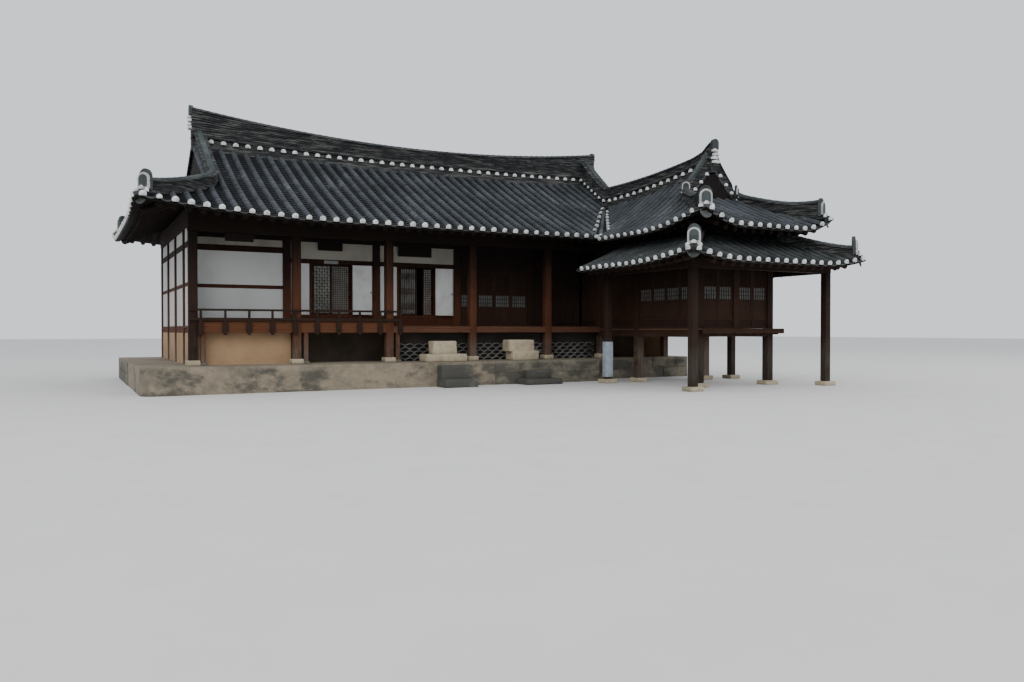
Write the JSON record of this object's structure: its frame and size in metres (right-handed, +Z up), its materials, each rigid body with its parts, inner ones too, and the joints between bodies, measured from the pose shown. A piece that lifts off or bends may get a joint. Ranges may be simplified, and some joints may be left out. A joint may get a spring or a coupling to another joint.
{
  "type": "hanok house",
  "caption": "Tile-roofed timber house on a stone platform, with a verandah along its front and a raised pavilion wing under a double roof.",
  "frame": {"origin": "on the ground under the middle of the bounding box", "axes": "+X along the long wing towards the pavilion, +Y into the house from its front, +Z up"},
  "size_m": [16.86, 13.65, 7.4712],
  "materials": {
    "stone": "rough dressed stone with mortar joints",
    "timber": "old dark red-brown timber",
    "plaster": "white lime plaster",
    "clay": "tan clay plaster",
    "roof_tile": "weathered dark grey fired clay",
    "paper": "wooden lattice backed with white paper"
  },
  "bodies": {
    "house": {"platform": "stone", "front_steps_left": "stone", "front_steps_right": "stone", "stepping_stones_left": "stone", "stepping_stones_right": "stone", "raised_floor": "clay", "underfloor_wall": "clay", "tile_screen": "roof_tile", "verandah_floor": "timber", "verandah_railing": "timber", "front_post_1": "timber", "front_post_2": "timber", "front_post_3": "timber", "front_post_4": "timber", "front_post_5": "timber", "front_beam": "timber", "inner_wall_left": "plaster", "inner_wall_middle": "plaster", "inner_wall_right": "plaster", "inner_wall_head": "plaster", "bay_4_doors": "paper", "bay_5_doors": "timber", "left_end_wall": "plaster", "rear_wall": "plaster", "right_end_wall": "plaster", "main_roof": "roof_tile", "main_ridge": "roof_tile", "left_front_ridge": "roof_tile", "left_rear_ridge": "roof_tile", "right_rear_ridge": "roof_tile", "pavilion_post_left": "timber", "pavilion_post_right": "timber", "outer_post_front_left": "timber", "outer_post_rear_left": "timber", "outer_post_front_right": "timber", "outer_post_rear_right": "timber", "pavilion_floor": "timber", "pavilion_front_wall": "timber", "pavilion_left_wall": "timber", "pavilion_right_wall": "timber", "pavilion_plate": "timber", "lower_roof_beams": "timber", "lower_roof": "roof_tile", "upper_roof": "roof_tile", "pavilion_ridge": "roof_tile", "upper_left_hip_ridge": "roof_tile", "upper_right_hip_ridge": "roof_tile", "lower_left_hip_ridge": "roof_tile", "lower_right_hip_ridge": "roof_tile"},
    "bay_2_left_leaf": {"bay_2_door_left": "paper"},
    "bay_2_right_leaf": {"bay_2_door_right": "paper"},
    "bay_3_left_leaf": {"bay_3_door_left": "paper"},
    "bay_3_right_leaf": {"bay_3_door_right": "paper"}
  },
  "joints": [
    {"name": "bay_2_left_hinge", "type": "hinge", "parent": "house", "child": "bay_2_left_leaf", "pos_m": [-4.082, 0.189, 2.515], "axis": [0, 0, -1], "range_deg": [0, 175]},
    {"name": "bay_2_right_hinge", "type": "hinge", "parent": "house", "child": "bay_2_right_leaf", "pos_m": [-3.018, 0.189, 2.515], "axis": [0, 0, -1], "range_deg": [0, 175]},
    {"name": "bay_3_left_hinge", "type": "hinge", "parent": "house", "child": "bay_3_left_leaf", "pos_m": [-1.672, 0.189, 2.515], "axis": [0, 0, -1], "range_deg": [0, 175]},
    {"name": "bay_3_right_hinge", "type": "hinge", "parent": "house", "child": "bay_3_right_leaf", "pos_m": [-0.628, 0.189, 2.515], "axis": [0, 0, -1], "range_deg": [0, 175]}
  ]
}
